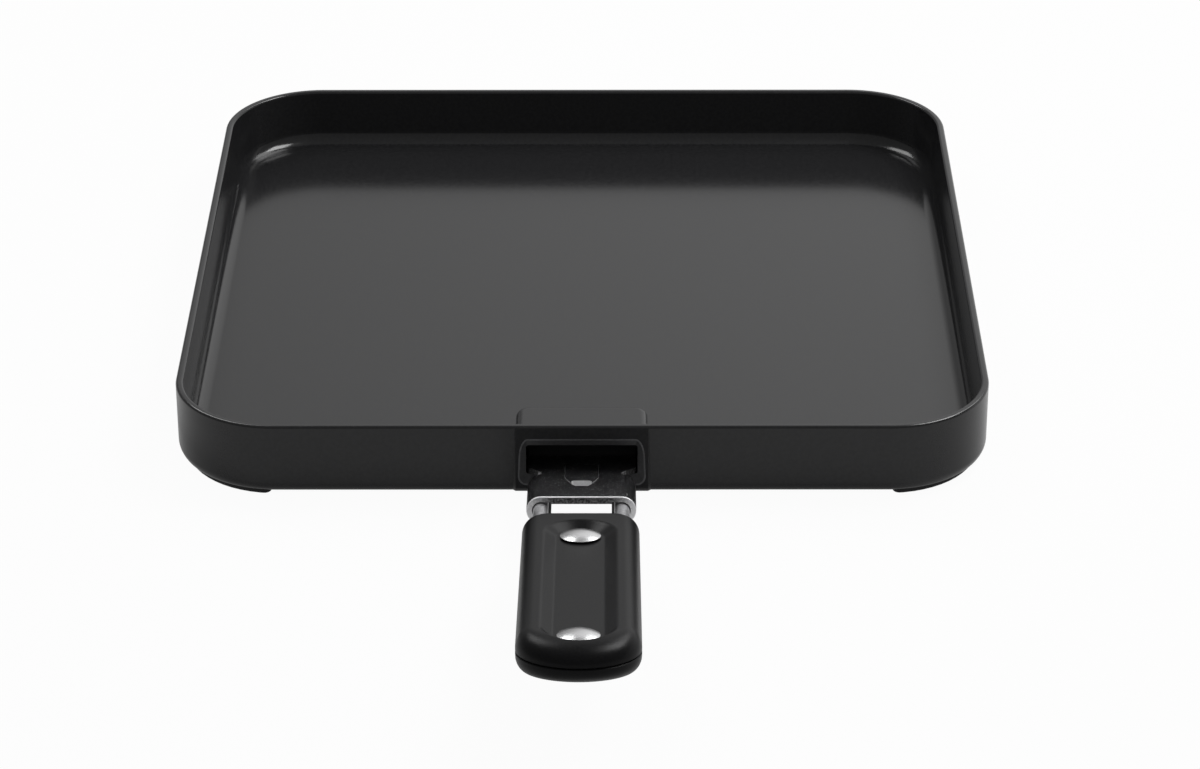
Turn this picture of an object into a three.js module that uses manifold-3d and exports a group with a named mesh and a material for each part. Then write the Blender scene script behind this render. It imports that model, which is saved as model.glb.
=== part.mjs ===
// Square cast griddle plate with a pull-off handle.
// Millimetres, +Z up. The origin is the centre of the pan's flat underside, and the handle points to -Y.
// Handle pieces are modelled in the handle's own frame: its origin is the middle of the socket floor at
// the pan's front plane, -Y runs out along the handle and +Z stands square to it. That frame is tipped up
// by handleTilt.

import * as THREE from 'three';
import { mergeVertices } from 'three/addons/utils/BufferGeometryUtils.js';
import Module from 'manifold-3d';

const wasm = await Module();
wasm.setup();

// Pan
const panSize = 270;
const panHeight = 25.3;
const panCorner = 34.7;
const floorThickness = 4.6;
const rimWall = 2.6;
const rimRound = 0.9;
const wallDraft = 4;
const dishFillet = 5;
const undersideRound = 4.5;

// Corner feet, cast under each rounded corner
const footInset = 3.2;
const footWidth = 6;
const footDrop = 1.5;
const footRoot = 2.5;

// Socket in the front wall, and the boss cast round it
const handleTilt = 11.5;
const socketWidth = 36.4;
const socketHeight = 10.4;
const socketDepth = 15.5;
const socketFloor = 7.7;
const socketCorner = 0.8;
const leadSide = 1.7;
const leadRise = 2.5;
const leadDepth = 1.2;
const leadCorner = 2.9;
const bossSideWall = 3.5;
const bossBackWall = 4.6;
const bossRoof = 3.7;
const bossCorner = 4.5;
const bossRound = 2.2;
const padMargin = 4;
const padProud = 0.4;
const padDrop = 1.6;
const padRound = 3.8;

// Clearances
const clearance = 0.3;
const tongueSideClearance = 0.6;
const tongueEndClearance = 0.4;

// Sheet bracket: tongue, neck and side curls
const sheet = 1.8;
const shoulderReach = 4.7;
const shoulderRun = 5.2;
const reliefGap = 1.8;
const curlLength = 23.7;
const curlSweep = 225;

// Catch tab, lanced in the bracket
const tabWidth = 11.6;
const tabRoot = 4;
const tabReach = 19.8;
const tabNotchWidth = 6.6;
const tabNotchDepth = 6.4;
const tabNotchCorner = 1;

// Wire frame
const wireDiameter = 5;
const wireSpread = 26;
const wireTuck = 0.8;
const bareWire = 22.6;

// Grip
const gripCover = 2.6;
const upperThickness = 7;
const lowerThickness = 6.5;
const gripFrontCorner = 5;
const gripEndDepth = 16;
const gripSideRound = 5;
const gripEndRound = 11;
const gripFrontRound = 1;
const gripLand = 1;
const bendCover = 3.2;

// Recess in the grip's top. Its wall stands steep and close behind the rear rivet.
const recessDepth = 2.2;
const recessMargin = 1.25;
const recessSlope = 3.7;
const recessRearMargin = 0.35;
const recessRearSlope = 0.5;

// Rivets and their washers
const rivetSetback = 18.2;
const rivetSpacing = 89.2;
const rivetTail = 14;
const rivetHead = 12.7;
const rivetRim = 0.4;
const rivetDome = 1.6;
const rivetShank = 5;
const closedHead = 8;
const closedHeight = 1.2;
const washerDiameter = 12;
const washerThickness = 1;
const washerSink = 0.4;

// Worked out from the sizes above
const tilt = THREE.MathUtils.degToRad(handleTilt);
const sheetTop = clearance + sheet;
const curlInner = wireDiameter / 2 + clearance;
const curlOuter = curlInner + sheet;
const wireX = wireSpread / 2;
const wireLevel = sheetTop - curlOuter;
const curlStart = shoulderReach + reliefGap;
const bracketReach = curlStart + curlLength;
const tongueHalf = socketWidth / 2 - tongueSideClearance;
const tongueEnd = socketDepth - tongueEndClearance;
const gripFront = bracketReach + bareWire;
const gripHalf = wireX + curlInner + gripCover;
const frontRivetReach = gripFront + rivetSetback;
const rearRivetReach = frontRivetReach + rivetSpacing;
const gripReach = rearRivetReach + rivetTail;
const bendReach = gripReach - bendCover - curlInner - wireX;
const partingGap = clearance / 2;
const gripTop = wireLevel + upperThickness;
const gripBottom = wireLevel - lowerThickness;
const recessFloor = gripTop - recessDepth;
const recessFloorRadius = rivetHead / 2 + recessMargin;

// Steps on a round stretch
const arcSteps = 4;
const roundSteps = 4;
const bendSteps = 12;
const wireSides = 16;
const holeSides = 24;

// How far a cut runs past the faces it opens, and how close two points are taken as one
const cutMargin = 2;
const weld = 1e-4;

const handleFrame = new THREE.Matrix4().makeRotationX(-tilt).setPosition(0, -panSize / 2, socketFloor);

// Closed meshes and joins

function solid(geometry) {
  geometry.deleteAttribute('normal');
  geometry.deleteAttribute('uv');
  const merged = mergeVertices(geometry, weld);
  const index = merged.index.array;
  const triangles = [];
  for (let i = 0; i < index.length; i += 3) {
    const [a, b, c] = [index[i], index[i + 1], index[i + 2]];
    if (a !== b && b !== c && c !== a) triangles.push(a, b, c);
  }
  const vertProperties = new Float32Array(merged.attributes.position.array);
  const triVerts = new Uint32Array(triangles);
  return new wasm.Manifold(new wasm.Mesh({ numProp: 3, vertProperties, triVerts }));
}

function part(name, body, material) {
  const { vertProperties, triVerts } = body.getMesh();
  const geometry = new THREE.BufferGeometry();
  geometry.setAttribute('position', new THREE.BufferAttribute(vertProperties, 3));
  geometry.setIndex(new THREE.BufferAttribute(triVerts, 1));
  geometry.computeVertexNormals();
  const mesh = new THREE.Mesh(geometry, material);
  mesh.name = name;
  return mesh;
}

// A closed skin through rings of equally many points. Each ring is convex and runs counter-clockwise as
// seen from the last ring's side.
function loft(rings) {
  const count = rings[0].length;
  const index = [];
  for (let r = 0; r + 1 < rings.length; r += 1) {
    for (let i = 0; i < count; i += 1) {
      const a = r * count + i;
      const b = r * count + (i + 1) % count;
      index.push(a, b, b + count, a, b + count, a + count);
    }
  }
  const last = (rings.length - 1) * count;
  for (let i = 1; i + 1 < count; i += 1) {
    index.push(0, i + 1, i, last, last + i, last + i + 1);
  }
  const geometry = new THREE.BufferGeometry().setFromPoints(rings.flat());
  geometry.setIndex(index);
  return solid(geometry);
}

function extrude(shape, depth) {
  return new THREE.ExtrudeGeometry(shape, { depth, bevelEnabled: false, curveSegments: arcSteps * 2 });
}

// Outline points of a shape, without the closing repeat of the first one
function outline(shape) {
  const points = shape.getPoints(arcSteps);
  if (points[0].distanceTo(points.at(-1)) < weld) points.pop();
  return points;
}

function ringAt(shape, z) {
  return outline(shape).map((p) => new THREE.Vector3(p.x, p.y, z));
}

function quarterTurn(steps) {
  return Array.from({ length: steps + 1 }, (_, i) => (i / steps) * Math.PI / 2);
}

// Rectangle with round corners, centred on a point
function roundedRect(width, height, radius, cx = 0, cy = 0) {
  const x = width / 2 - radius;
  const y = height / 2 - radius;
  const shape = new THREE.Shape();
  shape.absarc(cx + x, cy + y, radius, 0, Math.PI / 2);
  shape.absarc(cx - x, cy + y, radius, Math.PI / 2, Math.PI);
  shape.absarc(cx - x, cy - y, radius, Math.PI, 1.5 * Math.PI);
  shape.absarc(cx + x, cy - y, radius, 1.5 * Math.PI, 2 * Math.PI);
  return shape;
}

// Upright round bar between two heights, on the middle plane at a distance out along the handle
function bar(radius, low, high, reach) {
  const geometry = new THREE.CylinderGeometry(radius, radius, high - low, holeSides);
  geometry.rotateX(Math.PI / 2);
  geometry.translate(0, -reach, (low + high) / 2);
  return solid(geometry);
}

// Pan

// One ring of the pan's skin, drawn in from the outside wall
function panRing(inset, z) {
  const size = panSize - 2 * inset;
  return ringAt(roundedRect(size, size, panCorner - inset), z);
}

// The dish in one skin: up the outside from the underside, over the rim and down to the cooking floor
function dish() {
  const lean = Math.tan(THREE.MathUtils.degToRad(wallDraft));
  const filletTop = floorThickness + dishFillet;
  const wallInset = (z) => rimWall + (panHeight - z) * lean;
  const filletCentre = wallInset(filletTop) + dishFillet;
  const rimCentre = panHeight - rimRound;
  const turns = quarterTurn(roundSteps).map((a) => [Math.cos(a), Math.sin(a)]);
  const rimTurns = quarterTurn(roundSteps / 2).map((a) => [Math.cos(a), Math.sin(a)]);
  const rings = [
    ...turns.map(([c, s]) => panRing(undersideRound * (1 - s), undersideRound * (1 - c))),
    ...rimTurns.map(([c, s]) => panRing(rimRound * (1 - c), rimCentre + rimRound * s)),
    ...rimTurns.map(([c, s]) => panRing(rimWall - rimRound * (1 - s), rimCentre + rimRound * c)),
    ...turns.map(([c, s]) => panRing(filletCentre - dishFillet * c, filletTop - dishFillet * s)),
  ];
  return loft(rings);
}

// Foot under one corner: a quarter ring that follows the corner
function foot(signX, signY) {
  const outer = panCorner - footInset;
  const inner = outer - footWidth;
  const start = Math.atan2(signY, signX) - Math.PI / 4;
  const shape = new THREE.Shape();
  shape.absarc(0, 0, outer, start, start + Math.PI / 2, false);
  shape.absarc(0, 0, inner, start + Math.PI / 2, start, true);
  const centre = panSize / 2 - panCorner;
  const geometry = extrude(shape, footDrop + footRoot);
  geometry.translate(signX * centre, signY * centre, -footDrop);
  return solid(geometry);
}

// Boss inside the dish, from within the front wall to behind the socket's inner end
function boss() {
  const width = socketWidth + 2 * bossSideWall;
  const reach = socketDepth * Math.cos(tilt) + socketHeight * Math.sin(tilt) + bossBackWall;
  const top = socketFloor + socketHeight * Math.cos(tilt) + bossRoof;
  const front = -panSize / 2 + rimWall / 2;
  const back = -panSize / 2 + reach;
  const plan = (inset, z) => {
    const half = width / 2 - inset;
    const corner = bossCorner - inset;
    const shape = new THREE.Shape();
    shape.moveTo(-half, front);
    shape.lineTo(half, front);
    shape.absarc(half - corner, back - inset - corner, corner, 0, Math.PI / 2);
    shape.absarc(-half + corner, back - inset - corner, corner, Math.PI / 2, Math.PI);
    return ringAt(shape, z);
  };
  const rounds = quarterTurn(roundSteps / 2);
  return loft([
    plan(0, floorThickness / 2),
    ...rounds.map((a) => plan(bossRound * (1 - Math.cos(a)), top - bossRound * (1 - Math.sin(a)))),
  ]);
}

// Slightly proud pad round the mouth, with a tighter lower round than the wall's. Its profile is drawn from
// the side, as distance out from the pan's centre and height, and reaches under the cooking floor.
function mouthPad() {
  const width = socketWidth + 2 * padMargin;
  const face = panSize / 2 + padProud;
  const wallRoot = panSize / 2 - rimWall / 2;
  const floorRoot = panSize / 2 - undersideRound - rimWall;
  const top = panHeight - padDrop;
  const profile = new THREE.Shape();
  profile.moveTo(floorRoot, 0);
  profile.absarc(face - padRound, padRound, padRound, 1.5 * Math.PI, 2 * Math.PI, false);
  profile.lineTo(face, top);
  profile.lineTo(wallRoot, top);
  profile.lineTo(wallRoot, floorThickness / 2);
  profile.lineTo(floorRoot, floorThickness / 2);
  const geometry = extrude(profile, width);
  const outwards = new THREE.Vector3(0, -1, 0);
  const upwards = new THREE.Vector3(0, 0, 1);
  const across = new THREE.Vector3(-1, 0, 0);
  geometry.applyMatrix4(new THREE.Matrix4().makeBasis(outwards, upwards, across));
  geometry.translate(width / 2, 0, 0);
  return solid(geometry);
}

// Socket bore along the handle's slope
function socketBore() {
  const shape = roundedRect(socketWidth, socketHeight, socketCorner, 0, socketHeight / 2);
  const geometry = extrude(shape, socketDepth + cutMargin * 2);
  geometry.rotateX(Math.PI / 2);
  geometry.translate(0, socketDepth, 0);
  geometry.applyMatrix4(handleFrame);
  return solid(geometry);
}

// Ring of an upright rectangle at a distance along Y, for pieces that lie along Y
function uprightRing(width, low, high, radius, y) {
  const shape = roundedRect(width, high - low, radius, 0, (low + high) / 2);
  return outline(shape).map((p) => new THREE.Vector3(p.x, y, p.y));
}

// Lead-in round the mouth, widening to the pad's face
function mouthLead() {
  const outer = -panSize / 2 - padProud;
  const inner = outer + leadDepth;
  const low = socketFloor - (leadDepth - padProud) * Math.tan(tilt);
  const high = low + socketHeight / Math.cos(tilt);
  const past = leadDepth / 2;
  const ring = (y, radius) => {
    const opened = (inner - y) / leadDepth;
    const side = leadSide * opened;
    const rise = leadRise * opened;
    return uprightRing(socketWidth + 2 * side, low - rise, high + rise, radius, y);
  };
  return loft([ring(inner, socketCorner), ring(outer - past, leadCorner)]);
}

function panBody() {
  let body = dish().add(boss()).add(mouthPad());
  for (const signX of [-1, 1]) {
    for (const signY of [-1, 1]) body = body.add(foot(signX, signY));
  }
  return body.subtract(socketBore()).subtract(mouthLead());
}

// Sheet bracket

// Cross-section of the bracket's outer half: a flat top whose two sides curl down round the wires
function curlSection() {
  const top = Math.PI / 2;
  const end = THREE.MathUtils.degToRad(90 - curlSweep);
  const shape = new THREE.Shape();
  shape.moveTo(-wireX, sheetTop);
  shape.absarc(-wireX, wireLevel, curlOuter, top, Math.PI - end, false);
  shape.absarc(-wireX, wireLevel, curlInner, Math.PI - end, top, true);
  shape.lineTo(wireX, sheetTop - sheet);
  shape.absarc(wireX, wireLevel, curlInner, top, end, true);
  shape.absarc(wireX, wireLevel, curlOuter, end, top, false);
  return shape;
}

function curls() {
  const geometry = extrude(curlSection(), curlLength);
  geometry.rotateX(Math.PI / 2);
  geometry.translate(0, -curlStart, 0);
  return solid(geometry);
}

// Flat tongue with sloping shoulders, and the neck that carries it
function tongue() {
  const neckEnd = curlStart + cutMargin;
  const shape = new THREE.Shape();
  shape.moveTo(-tongueHalf, tongueEnd);
  shape.lineTo(-tongueHalf, shoulderRun - shoulderReach);
  shape.lineTo(-wireX, -shoulderReach);
  shape.lineTo(-wireX, -neckEnd);
  shape.lineTo(wireX, -neckEnd);
  shape.lineTo(wireX, -shoulderReach);
  shape.lineTo(tongueHalf, shoulderRun - shoulderReach);
  shape.lineTo(tongueHalf, tongueEnd);
  const geometry = extrude(shape, sheet);
  geometry.translate(0, 0, clearance);
  return solid(geometry);
}

// Turned-up inner end that bears on the socket's roof
function tongueLip() {
  const height = socketHeight - 2 * clearance;
  const geometry = new THREE.BoxGeometry(tongueHalf * 2, sheet, height);
  geometry.translate(0, tongueEnd - sheet / 2, clearance + height / 2);
  return solid(geometry);
}

// U-shaped outline of the catch tab, drawn in from the lanced cut
function tabOutline(inset) {
  const half = tabWidth / 2 - inset;
  const centre = tabReach - tabWidth / 2;
  const root = tabRoot - inset;
  const shape = new THREE.Shape();
  shape.moveTo(half, root);
  shape.lineTo(-half, root);
  shape.absarc(0, -centre, half, Math.PI, 2 * Math.PI, false);
  return shape;
}

function tongueBracket() {
  const cut = extrude(tabOutline(0), sheet + 2 * cutMargin);
  cut.translate(0, 0, clearance - cutMargin);
  return curls().add(tongue()).add(tongueLip()).subtract(solid(cut));
}

function catchTab() {
  const tab = extrude(tabOutline(clearance), sheet);
  tab.translate(0, 0, clearance);
  const notchLength = tabNotchDepth + cutMargin;
  const middle = -tabReach + tabNotchDepth - notchLength / 2;
  const notchShape = roundedRect(tabNotchWidth, notchLength, tabNotchCorner, 0, middle);
  const notch = extrude(notchShape, sheet + 2 * cutMargin);
  notch.translate(0, 0, clearance - cutMargin);
  return solid(tab).subtract(solid(notch));
}

// Wire frame

// Hairpin swept with a round section: up one leg, round the bend in the grip and back down the other leg
function hairpin(radius, start) {
  const stations = [{ x: -wireX, y: -start, heading: 0 }];
  for (let i = 0; i <= bendSteps; i += 1) {
    const heading = (i / bendSteps) * Math.PI;
    stations.push({ x: -wireX * Math.cos(heading), y: -bendReach - wireX * Math.sin(heading), heading });
  }
  stations.push({ x: wireX, y: -start, heading: Math.PI });
  const rings = stations.map(({ x, y, heading }) => {
    const points = [];
    for (let k = 0; k < wireSides; k += 1) {
      const around = (k / wireSides) * 2 * Math.PI;
      const side = radius * Math.cos(around);
      const level = wireLevel + radius * Math.sin(around);
      points.push(new THREE.Vector3(x + side * Math.cos(heading), y + side * Math.sin(heading), level));
    }
    return points;
  });
  return loft(rings);
}

function wireFrame() {
  return hairpin(wireDiameter / 2, curlStart + wireTuck);
}

// Grip mouldings

// Plan outline of the grip, drawn in by different amounts at its sides, its round end and its front
function gripRing(side, end, front, z) {
  const half = gripHalf - side;
  const corner = gripFrontCorner - front;
  const face = gripFront + front;
  const endStart = gripReach - gripEndDepth;
  const depth = gripEndDepth - end;
  const shape = new THREE.Shape();
  shape.absellipse(0, -endStart, half, depth, Math.PI, 1.5 * Math.PI, false);
  shape.absellipse(0, -endStart, half, depth, 1.5 * Math.PI, 2 * Math.PI, false);
  shape.absarc(half - corner, -face - corner, corner, 0, Math.PI / 2, false);
  shape.absarc(-half + corner, -face - corner, corner, Math.PI / 2, Math.PI, false);
  return ringAt(shape, z);
}

// Rings of one moulding, from its parting face to its rounded back. Direction is 1 upwards, -1 downwards.
function gripRings(thickness, direction) {
  const level = (height) => wireLevel + direction * height;
  const rise = thickness - partingGap - gripLand;
  const rounds = quarterTurn(roundSteps).map((a) => {
    const drawn = 1 - Math.cos(a);
    const height = partingGap + gripLand + rise * Math.sin(a);
    return gripRing(gripSideRound * drawn, gripEndRound * drawn, gripFrontRound * drawn, level(height));
  });
  return [gripRing(0, 0, 0, level(partingGap)), ...rounds];
}

// Long recess with round ends, its sides sloping down to a flat floor that holds both rivet heads. The front
// end goes round its rivet; the rear end stops just past the other one.
function recess() {
  const floorEnd = rearRivetReach + rivetHead / 2 + recessRearMargin;
  const ring = (rise) => {
    const opened = rise / recessDepth;
    const radius = recessFloorRadius + recessSlope * opened;
    const rearCentre = floorEnd + recessRearSlope * opened - radius;
    const shape = new THREE.Shape();
    shape.absarc(0, -frontRivetReach, radius, 0, Math.PI, false);
    shape.absarc(0, -rearCentre, radius, Math.PI, 2 * Math.PI, false);
    return ringAt(shape, recessFloor + rise);
  };
  return loft([ring(0), ring(recessDepth + cutMargin)]);
}

function rivetHoles(radius, low, high) {
  return bar(radius, low, high, frontRivetReach).add(bar(radius, low, high, rearRivetReach));
}

function wireChannel() {
  return hairpin(curlInner, gripFront - cutMargin);
}

function upperGrip() {
  const body = loft(gripRings(upperThickness, 1)).subtract(recess()).subtract(wireChannel());
  return body.subtract(rivetHoles(rivetShank / 2 + clearance, wireLevel - cutMargin, gripTop + cutMargin));
}

// Heights below the lower moulding's counterbored seat
const washerSeat = gripBottom + washerSink + closedHeight + clearance + washerThickness + clearance;
const washerTop = washerSeat - clearance;
const closedTop = washerTop - washerThickness - clearance;

function lowerGrip() {
  const rings = gripRings(lowerThickness, -1).reverse();
  const body = loft(rings).subtract(wireChannel());
  const holes = rivetHoles(rivetShank / 2 + clearance, gripBottom - cutMargin, wireLevel + cutMargin);
  const counterbores = rivetHoles(washerDiameter / 2 + clearance, gripBottom - cutMargin, washerSeat);
  return body.subtract(holes).subtract(counterbores);
}

// Rivets and washers

// Dome head above the recess floor, shank through both mouldings, closed head under the washer
function rivet(reach) {
  const seat = recessFloor + clearance;
  const head = rivetHead / 2;
  const shank = rivetShank / 2;
  const domeRadius = (head * head + rivetDome * rivetDome) / (2 * rivetDome);
  const domeCentre = seat + rivetRim + rivetDome - domeRadius;
  const domeSpan = Math.asin(head / domeRadius);
  const profile = [
    new THREE.Vector2(0, closedTop - closedHeight),
    new THREE.Vector2(closedHead / 2, closedTop - closedHeight),
    new THREE.Vector2(closedHead / 2, closedTop),
    new THREE.Vector2(shank, closedTop),
    new THREE.Vector2(shank, seat),
    new THREE.Vector2(head, seat),
  ];
  for (let i = roundSteps; i >= 0; i -= 1) {
    const angle = domeSpan * i / roundSteps;
    const level = domeCentre + domeRadius * Math.cos(angle);
    profile.push(new THREE.Vector2(domeRadius * Math.sin(angle), level));
  }
  const geometry = new THREE.LatheGeometry(profile, holeSides);
  geometry.rotateX(Math.PI / 2);
  geometry.translate(0, -reach, 0);
  return solid(geometry);
}

function washer(reach) {
  const bottom = washerTop - washerThickness;
  const disc = bar(washerDiameter / 2, bottom, washerTop, reach);
  return disc.subtract(bar(rivetShank / 2 + clearance, bottom - cutMargin, washerTop + cutMargin, reach));
}

// Finishes

function finish(color, roughness, metalness) {
  return new THREE.MeshStandardMaterial({ color, roughness, metalness, flatShading: true });
}

const coatFinish = () => finish(0x232324, 0.35, 0);
const sheetFinish = () => finish(0x3c3c3e, 0.4, 0.8);
const wireFinish = () => finish(0x6e6f72, 0.35, 1);
const gripFinish = () => finish(0x2a2a2b, 0.55, 0);
const rivetFinish = () => finish(0xd6d6d8, 0.2, 1);

// Assembly

const handle = new THREE.Group();
handle.applyMatrix4(handleFrame);
handle.add(
  part('tongue_bracket', tongueBracket(), sheetFinish()),
  part('catch_tab', catchTab(), sheetFinish()),
  part('wire_frame', wireFrame(), wireFinish()),
  part('upper_grip', upperGrip(), gripFinish()),
  part('lower_grip', lowerGrip(), gripFinish()),
  part('front_rivet', rivet(frontRivetReach), rivetFinish()),
  part('rear_rivet', rivet(rearRivetReach), rivetFinish()),
  part('front_washer', washer(frontRivetReach), rivetFinish()),
  part('rear_washer', washer(rearRivetReach), rivetFinish()),
);

const griddle = new THREE.Group();
griddle.add(part('pan_body', panBody(), coatFinish()), handle);

export default griddle;
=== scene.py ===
import logging
import math
from collections.abc import Callable, Iterable, Sequence
from dataclasses import dataclass
from enum import Enum

import bmesh
import bpy
from bmesh.types import BMEdge, BMesh, BMFace, BMVert
from mathutils import Matrix, Vector


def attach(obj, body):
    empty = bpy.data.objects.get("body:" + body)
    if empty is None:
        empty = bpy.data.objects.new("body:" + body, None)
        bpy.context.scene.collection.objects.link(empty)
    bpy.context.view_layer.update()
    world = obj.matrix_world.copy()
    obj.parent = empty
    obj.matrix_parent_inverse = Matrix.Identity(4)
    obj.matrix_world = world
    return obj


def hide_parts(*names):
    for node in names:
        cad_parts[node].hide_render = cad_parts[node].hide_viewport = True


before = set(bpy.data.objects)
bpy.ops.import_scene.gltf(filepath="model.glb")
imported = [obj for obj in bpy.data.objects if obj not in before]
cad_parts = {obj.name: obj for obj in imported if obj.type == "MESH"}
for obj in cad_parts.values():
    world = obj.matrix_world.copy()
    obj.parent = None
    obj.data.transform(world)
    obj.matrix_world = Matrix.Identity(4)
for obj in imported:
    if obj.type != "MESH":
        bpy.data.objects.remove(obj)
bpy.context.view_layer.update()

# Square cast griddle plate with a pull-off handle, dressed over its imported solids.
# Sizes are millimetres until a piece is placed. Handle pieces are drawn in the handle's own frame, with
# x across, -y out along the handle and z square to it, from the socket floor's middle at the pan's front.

LOG = logging.getLogger("griddle")
WHITE = (1.0, 1.0, 1.0, 1.0)

# Metres in a millimetre
MM = 0.001

# Millimetres within which two places count as one, and within which points are welded
NEAR = 0.02
WELD = 0.001

# Share of a normal along an axis from which a face looks that way, and from which it mostly does
FACING = 0.9
LEANING = 0.5

# Radians of turn from which an edge is a corner of a foot, and from which it is a corner of the sheet
FOOT_CORNER = math.radians(45)
SHEET_CORNER = 1.0

# Rounds of halving that find a place on a curve
HALVINGS = 24


class Body(Enum):
    """Bodies that a piece can ride on."""

    PAN = "pan"
    HANDLE = "handle"
    CATCH = "catch"


class Slot(Enum):
    """Material slots of the record."""

    COAT = "coat"
    SHEET = "sheet_steel"
    WIRE = "wire"
    GRIP = "grip"
    RIVET = "rivet"


class Join(Enum):
    """Ways to combine two closed meshes."""

    ADD = "UNION"
    CUT = "DIFFERENCE"


class PanFace(Enum):
    """Material indices of the casting's faces."""

    COAT = 0
    MOUTH_LIT = 1
    EDGE = 2
    DULL = 3


class SheetFace(Enum):
    """Material indices of the bracket's and the tab's faces."""

    OXIDE = 0
    SHEARED = 1
    TORN = 2
    CUT = 3
    IN_SHADE = 4


# Colours and nodes


def linear(colour: str) -> tuple[float, float, float, float]:
    """Turns an sRGB hex colour into linear light.

    Args:
        colour: Six hex digits.

    Returns:
        Linear red, green and blue, and an alpha of one.
    """
    channels = [int(colour[i:i + 2], 16) / 255 for i in (0, 2, 4)]
    lit = [c / 12.92 if c <= 0.04045 else ((c + 0.055) / 1.055) ** 2.4 for c in channels]
    return (*lit, 1.0)


def per_metre(size: float) -> float:
    """Gives the texture scale that makes a feature this many millimetres across."""
    return 1 / (size * MM)


def add_node(tree: bpy.types.NodeTree, kind: str, inputs: dict | None = None, **settings) -> bpy.types.Node:
    """Adds a node with its settings, input values and links.

    Args:
        tree: The node tree.
        kind: The node's type name.
        inputs: Input names or numbers, each with a value or with the socket that feeds it.
        **settings: Properties of the node itself.

    Returns:
        The new node.
    """
    node = tree.nodes.new(kind)
    for name, value in settings.items():
        setattr(node, name, value)
    for name, value in (inputs or {}).items():
        if isinstance(value, bpy.types.NodeSocket):
            tree.links.new(value, node.inputs[name])
        else:
            node.inputs[name].default_value = value
    return node


@dataclass(frozen=True)
class Finish:
    """A surface finish with a fine grain in its colour, gloss and relief.

    Attributes:
        name: The material's name.
        dark: Colour in the grain's low spots.
        light: Colour in its high spots.
        gloss: Roughness in the low and high spots.
        grain: Width of one grain in millimetres.
        relief: Height of the grain in millimetres.
        spread: Noise values that map to the low and high spots.
        metallic: One for bare metal.
        ior: Index of refraction of what is not metal.
    """

    name: str
    dark: str
    light: str
    gloss: tuple[float, float]
    grain: float
    relief: float
    spread: tuple[float, float] = (0.35, 0.65)
    metallic: float = 0.0
    ior: float = 1.5

    def material(self) -> bpy.types.Material:
        """Makes this finish's material on its first use.

        Returns:
            The material.
        """
        made = bpy.data.materials.get(self.name)
        if made:
            return made
        made = bpy.data.materials.new(self.name)
        made.use_nodes = True
        tree = made.node_tree
        shader = tree.nodes["Principled BSDF"]
        shader.inputs["Metallic"].default_value = self.metallic
        shader.inputs["IOR"].default_value = self.ior
        coords = add_node(tree, "ShaderNodeTexCoord").outputs["Object"]
        height = self.height(tree, coords)
        share = self.share(tree, coords, height)
        colour = add_node(
            tree,
            "ShaderNodeMix",
            {0: share, 6: linear(self.dark), 7: linear(self.light)},
            data_type="RGBA",
        )
        rough = add_node(tree, "ShaderNodeMapRange", {0: share, 3: self.gloss[0], 4: self.gloss[1]})
        bump = add_node(tree, "ShaderNodeBump", {"Height": height, "Distance": self.relief * MM})
        tree.links.new(colour.outputs[2], shader.inputs["Base Color"])
        tree.links.new(rough.outputs[0], shader.inputs["Roughness"])
        tree.links.new(bump.outputs[0], shader.inputs["Normal"])
        return made

    def height(self, tree: bpy.types.NodeTree, coords: bpy.types.NodeSocket) -> bpy.types.NodeSocket:
        """Adds the grain's height pattern.

        Args:
            tree: The material's node tree.
            coords: The piece's own coordinates.

        Returns:
            The socket that carries the height.
        """
        noise = {"Vector": coords, "Scale": per_metre(self.grain), "Detail": 3.0}
        return add_node(tree, "ShaderNodeTexNoise", noise).outputs[0]

    def share(
        self, tree: bpy.types.NodeTree, coords: bpy.types.NodeSocket, height: bpy.types.NodeSocket
    ) -> bpy.types.NodeSocket:
        """Adds the mix of low and high spots.

        Args:
            tree: The material's node tree.
            coords: The piece's own coordinates; not used here.
            height: The grain's height.

        Returns:
            The socket that goes from zero in the low spots to one in the high ones.
        """
        low, high = self.spread
        return add_node(tree, "ShaderNodeMapRange", {0: height, 1: low, 2: high}).outputs[0]


@dataclass(frozen=True)
class CutEdge(Finish):
    """A sheared edge that is torn and dark in the middle of the sheet and bright at its sides.

    Attributes:
        torn_to: Distance from the middle, in millimetres, up to which it is torn.
        bright_from: Distance from which it is bright.
        speckle: How much of the grain shows.
    """

    torn_to: float = 9.0
    bright_from: float = 17.0
    speckle: float = 0.5

    def share(
        self, tree: bpy.types.NodeTree, coords: bpy.types.NodeSocket, height: bpy.types.NodeSocket
    ) -> bpy.types.NodeSocket:
        """Adds the mix of low and high spots, brighter towards the sides.

        Args:
            tree: The material's node tree.
            coords: The piece's own coordinates.
            height: The grain's height.

        Returns:
            The socket that goes from zero in the low spots to one in the high ones.
        """
        grain = super().share(tree, coords, height)
        across = add_node(tree, "ShaderNodeSeparateXYZ", {0: coords}).outputs["X"]
        reach = add_node(tree, "ShaderNodeMath", {0: across}, operation="ABSOLUTE").outputs[0]
        span = {0: reach, 1: self.torn_to * MM, 2: self.bright_from * MM}
        bright = add_node(tree, "ShaderNodeMapRange", span).outputs[0]
        both = {0: grain, 1: self.speckle, 2: bright}
        return add_node(tree, "ShaderNodeMath", both, operation="MULTIPLY_ADD", use_clamp=True).outputs[0]


# PTFE non-stick, sprayed and baked on cast aluminium: black, satin, with a faint orange peel. It stays dark
# face on and goes grey at a low angle. The peel is drawn at 1.2 mm, coarser than life.
NON_STICK = Finish("ptfe_non_stick_sprayed", "1c1c1d", "212122", (0.14, 0.18), 1.2, 0.003, ior=1.42)

# The same coat in the mouth of the socket: dull, and paler than the coat's own colour, as painted light
# that lifts the mouth's shade.
MOUTH_COAT_PAINTED_LIGHT = Finish("ptfe_non_stick_mouth_painted_light", "424243", "4a4a4b", (0.4, 0.5), 0.8, 0.004, ior=1.35)

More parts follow.
